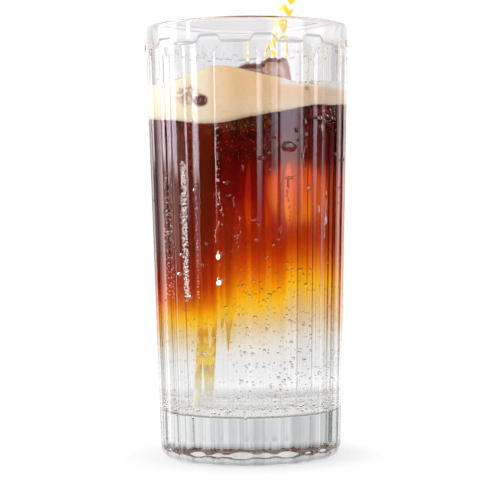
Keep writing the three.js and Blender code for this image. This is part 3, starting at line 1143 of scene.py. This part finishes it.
def make_drops(name, drops):
    """One mesh of flattened half-round drops that stand on the outside of the glass."""
    unit, triangles = unit_ball()
    points, faces = [], []
    for turn, z, half_width, half_height in drops:
        azimuth = math.radians(turn)
        across = np.array([math.cos(azimuth), math.sin(azimuth), 0])
        outward = np.array([math.sin(azimuth), -math.cos(azimuth), 0])
        depth = 0.2 + 0.5 * min(half_width, half_height)
        size = unit * [DROP_SPREAD * half_width, depth, DROP_SPREAD * half_height]
        centre = outward * (outside_wall(z, azimuth) + 0.05) + np.array([0, 0, z])
        faces.append(triangles + len(points) * len(unit))
        points.append(centre + size[:, :1] * across + size[:, 1:2] * outward + size[:, 2:] * [0, 0, 1])
    return object_of(name, np.concatenate(points) * MM, np.concatenate(faces).tolist())


def painted_glint_drop(graph):
    """Two drops painted milky white and glowing, as painted highlights where the window would shine in them
    whole.
    """
    colour = graph.mottled(900.0, (0.85, 0.80, 0.78), WHITE)
    return {"Base Color": colour, "Roughness": 0.05, **glowing((1.0, 0.97, 0.96, 1.0), 0.35)}


random = np.random.default_rng(21)
beads = [bead for run in RUNS for bead in beads_of(*run, random)]
large_drops = make_drops("large_drops", DROPS + beads)
wear(large_drops, water)
# Painted highlights: two drops that glow white
painted_glint_drops = make_drops("painted_glint_drops", [(-18.0, 75.3, 0.6, 0.85), (-17.8, 66.1, 0.75, 0.75)])
wear(painted_glint_drops, finish_of("painted_glint_drop", painted_glint_drop))
dew += [large_drops, painted_glint_drops]

# %% [markdown]
# On the left the wall is lined with a very fine froth, left behind by the pour, and white sparks of
# gas sit on the floor's edge. Both are too small to show refraction, so they are plain white with a
# little painted glow, which stands for light going round inside the froth. The sparks have painted
# shade below and a painted glow above. Just under the foam, golden grains of crema hang against the wall.

# %% Fine froth and golden grains
def fine_froth(graph):
    colour = graph.mottled(500.0, (0.90, 0.82, 0.78), (1.0, 0.97, 0.95))
    # A little painted glow, which stands for light going round inside the froth
    return {"Base Color": colour, "Roughness": 0.3, **glowing((1.0, 0.92, 0.89, 1.0), 0.25)}


def golden_grain(graph):
    colour = graph.mottled(700.0, (0.45, 0.14, 0.015), (1.0, 0.50, 0.08), (0.35, 0.65))
    return {"Base Color": colour, "Roughness": 0.4}


def spark_of_gas(graph):
    # Painted light and shade: the upper side is white and glows, and the lower side is dark
    lit = faces_up(graph).ramp(-0.25, 0.15)
    colour = graph.mix(lit, (0.22, 0.17, 0.15), graph.mottled(500.0, (0.92, 0.92, 0.91), WHITE))
    return {"Base Color": colour, "Roughness": 0.3, **glowing(graph.mix(lit, BLACK, WHITE), 0.45)}


froth_white = finish_of("fine_froth", fine_froth)
spark = finish_of("spark_of_gas", spark_of_gas)
grain = finish_of("golden_grain", golden_grain)
# Name, lowest and highest, first and last azimuth, count a square centimetre, radii, seed, finish
FROTH = [
    ("froth_strip", 60, 109, -44.5, -40.5, 700, (0.14, 0.27), 15, froth_white),
    ("froth_wide", 60, 107, -62, -53, 130, (0.08, 0.20), 16, froth_white),
    ("froth_line", 60, 125, -33.2, -32.0, 240, (0.10, 0.22), 17, froth_white),
    ("froth_thread", 92, 125, -18.6, -17.4, 200, (0.10, 0.22), 18, froth_white),
    ("froth_right", 123, 129, 49, 64, 60, (0.10, 0.26), 19, froth_white),
    ("sparks_rim", 18.2, 21.0, -180, 180, 42, (0.24, 0.58), 22, spark),
    ("sparks_right", 20, 36, 12, 70, 20, (0.20, 0.46), 23, spark),
    ("grains_high", 120, 127, -17, 14, 210, (0.06, 0.15), 24, grain),
    ("grains_low", 109, 122, -17, 14, 60, (0.05, 0.13), 26, grain),
    ("grains_left", 106, 126, -40, -31, 130, (0.06, 0.15), 25, grain),
]
# They lie just outside the bore, where the dark liquid doesn't hide them
IN_WALL = -0.4
froth = [
    scattered(wall_patch(name, inside_wall(IN_WALL), *span, 48), count, radii, (0.3, 0.1, 1.2), seed, finish)
    for name, *span, count, radii, seed, finish in FROTH
]

# %% [markdown]
# ## Floor, backdrop and light
#
# The photograph has a white ground and a bright window on the left. The floor is a plain white
# round, which fades into the white of the world.

# %% Floor
FLOOR_EDGE = 60.0
FLOOR_COLUMNS = 96


def white_floor(graph):
    point, x, y, z = graph.place()
    fades = distance_of(x, y).ramp_mm(34, 52)
    near = graph.mix(graph.noise(point, 40.0, 2.0), (0.20, 0.20, 0.20), (0.22, 0.22, 0.22))
    return {
        "Base Color": graph.mix(fades, near, BLACK),
        "Roughness": 0.9,
        "Specular IOR Level": 0.0,
        **glowing(graph.mix(fades, (0.70, 0.70, 0.70), WHITE), 1.0),
    }


edge = on_ring(turn_of(FLOOR_COLUMNS), FLOOR_EDGE, 0.0)
wedges = [(0, 1 + c, 1 + (c + 1) % FLOOR_COLUMNS) for c in range(FLOOR_COLUMNS)]
floor = object_of("floor", np.concatenate([[[0, 0, 0]], edge]) * MM, wedges)
wear(floor, finish_of("white_floor", white_floor))

# %% [markdown]
# Glass shows only what is around it, so the world is what makes it look like glass. It answers each
# ray by the path that the ray has taken: straight from the camera, seen through the glass, mirrored
# on its outside, mirrored just inside it, mirrored deep inside it, or lighting the foam, the ice
# and the paper. Directions are given by azimuth, 0 in front and 90 at the right, and by height, in
# degrees.

# %% What the glass mirrors
def choose(graph, test, otherwise, chosen):
    return graph.node("ShaderNodeMix", {"Factor": test, 2: otherwise, 3: chosen}, data_type="FLOAT")


# Brightness of the pane, the sill, the narrow lamp and the small window, seen in the glass
PANE, SILL, LAMP, SMALL_WINDOW = 7.5, 1.2, 9.0, 4.4
# The window's near edge, and how much its sill seems to rise for each degree away from it
WINDOW_EDGE = -85
SLANT = 0.043


def windows_of(azimuth, up):
    """A tall window over its sill and a narrow lamp on the left, and a small window on the right."""
    left_window = band(azimuth, -118, WINDOW_EDGE, 2.5)
    slanted = up + (azimuth - WINDOW_EDGE) * SLANT
    pane = band(slanted, -1.1, 50, 0.45) * up.ramp(2.4, 3.8, 1.0, 0.45)
    sill = band(slanted, -4.3, -1.0, 0.8)
    lamp = band(azimuth, -70.5, -66, 0.6) * band(up, -2.2, 60, 1)
    small_window = band(azimuth, 24, 66, 2.5) * azimuth.ramp(27, 37, 0.4, 1.0) * band(up, -2, 40, 2)
    return left_window * (pane * PANE + sill * SILL) + small_window * SMALL_WINDOW + lamp * LAMP


def room_mirrored(graph, azimuth, up, right, back, entered, deep):
    """What a mirrored ray meets: on the outside, just inside and deep inside the glass."""
    windows = windows_of(azimuth, up)
    outside = windows + back.ramp(0.45, 0.75, 0.01, 1.5)
    inside = windows * 0.2 + back.ramp(-0.3, 0.1, 0.08, 0.65)
    deeper = up.ramp(-26, -14, 0.10, 1.32) * up.ramp(-1.5, 1.5, 1.0, 0.74)
    deeper = deeper * up.ramp(14, 26, 1.0, 0.6) + right * 0.12
    return choose(graph, entered, outside, choose(graph, deep, inside, deeper))


# %% What shows through the glass, and what lights the rest
def room_behind(graph, azimuth, up, right):
    """A pale backdrop with soft upright streaks, dimmer high up and, on the left, low down."""
    streaks = graph.noise(graph.node("ShaderNodeCombineXYZ", {"X": azimuth / 6.0}), 1.0)
    sector = azimuth / 45.0
    off_middle = (sector - sector.math("ROUND")).math("ABSOLUTE")
    backdrop = off_middle.ramp(0.28, 0.38, 1.0, 0.96) * streaks.ramp(0.3, 0.7, 0.90, 1.03)
    backdrop = backdrop * up.ramp(-1.5, 3, 1.17, 0.96) + right * 0.08
    backdrop = backdrop * up.ramp(9, 13, 1.0, 0.72)
    return choose(graph, band(up, -12.5, -6.8, 1.0), backdrop, right.ramp(-0.2, 0.7, 0.70, 1.0))


def studio_light(azimuth, up):
    """Even light from all round, stronger from the window's side."""
    lighting = band(azimuth, -140, -50, 20) * band(up, -10, 60, 10) * 2.2 + 1.4
    return lighting * up.ramp(30, 60, 1.0, 0.55)


def room_tint(graph, azimuth, up, on_surface, inside, seen):
    """Reflections on the outside are lilac from above and rosy low down. Just inside they are warm."""
    lilac = up.ramp(-1.5, 1.0) * azimuth.math("ABSOLUTE").ramp(118, 128, 1.0, 0.0)
    sheen = graph.mix(lilac, (1.0, 0.84, 0.80), (1.0, 0.93, 1.10))
    sheen = graph.mix(band(up, -5.0, 3.0, 0.7), (0.99, 0.99, 1.0), sheen)
    tint = graph.mix(on_surface, (1.0, 0.968, 0.99), sheen)
    tint = graph.mix(band(up, -3.6, 2.3, 0.5) * inside, tint, (1.0, 0.80, 0.73))
    return graph.mix(seen, tint, WHITE)


# %% World
def make_world():
    world = bpy.data.worlds.new("studio")
    world.use_nodes = True
    bpy.context.scene.world = world
    graph = Graph(world.node_tree)
    right, back, height = graph.split(graph.node("ShaderNodeTexCoord", out="Generated"))
    azimuth = right.math("ARCTAN2", -back) * (180 / math.pi)
    up = height.math("ARCSINE") * (180 / math.pi)
    # The light path's first output is 1 for a ray straight from the camera
    seen = graph.node("ShaderNodeLightPath")
    reflected = seen.other("Glossy Depth").math("GREATER_THAN", 0.5)
    diffused = seen.other("Diffuse Depth").math("GREATER_THAN", 0.5)
    entered = seen.other("Transmission Depth").math("GREATER_THAN", 0.5)
    deep = seen.other("Transmission Depth").math("GREATER_THAN", 2.5)
    mirrored = room_mirrored(graph, azimuth, up, right, back, entered, deep)
    strength = choose(graph, reflected, room_behind(graph, azimuth, up, right), mirrored)
    strength = choose(graph, diffused, strength, studio_light(azimuth, up))
    strength = choose(graph, seen, strength, 1.0)
    on_surface = reflected * (1.0 - entered)
    inside = reflected * entered * (1.0 - deep)
    tint = room_tint(graph, azimuth, up, on_surface, inside, seen)
    shader = graph.node("ShaderNodeBackground", {"Color": tint, "Strength": strength})
    graph.node("ShaderNodeOutputWorld", {"Surface": shader})
    return world


print("world:", len(make_world().node_tree.nodes), "nodes")

# %% [markdown]
# Light crosses many walls of glass and liquid before it leaves, so a ray may turn often. With too
# few bounces the thick foot and the flutes would turn black.

# %% Tracing enough bounces
MOST_BOUNCES = 96
scene = bpy.context.scene
scene.view_settings.view_transform = "Standard"
scene.cycles.max_bounces = MOST_BOUNCES
scene.cycles.transmission_bounces = MOST_BOUNCES
scene.cycles.glossy_bounces = MOST_BOUNCES
scene.cycles.sample_clamp_indirect = 8.0
print("up to", MOST_BOUNCES, "bounces")

# %% [markdown]
# ## Handing the pieces to the frame
#
# Every piece rides on the one body. The fine meshes stand for the faceted solids.

# %% Riding and replacing
stands_for = {
    glass: ("glass", ["glass"]),
    straw: ("straw", ["straw"]),
    ice: ("ice", ["ice"]),
    foam: ("foam", ["foam"]),
    drink: ("espresso", ["espresso", "amber", "tonic"]),
}
for piece, (slot, nodes) in stands_for.items():
    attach(piece, "root")
    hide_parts(*nodes)
for piece in fizz + froth:
    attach(piece, "root")
for piece in dew:
    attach(piece, "root")
for piece in crema:
    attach(piece, "root")
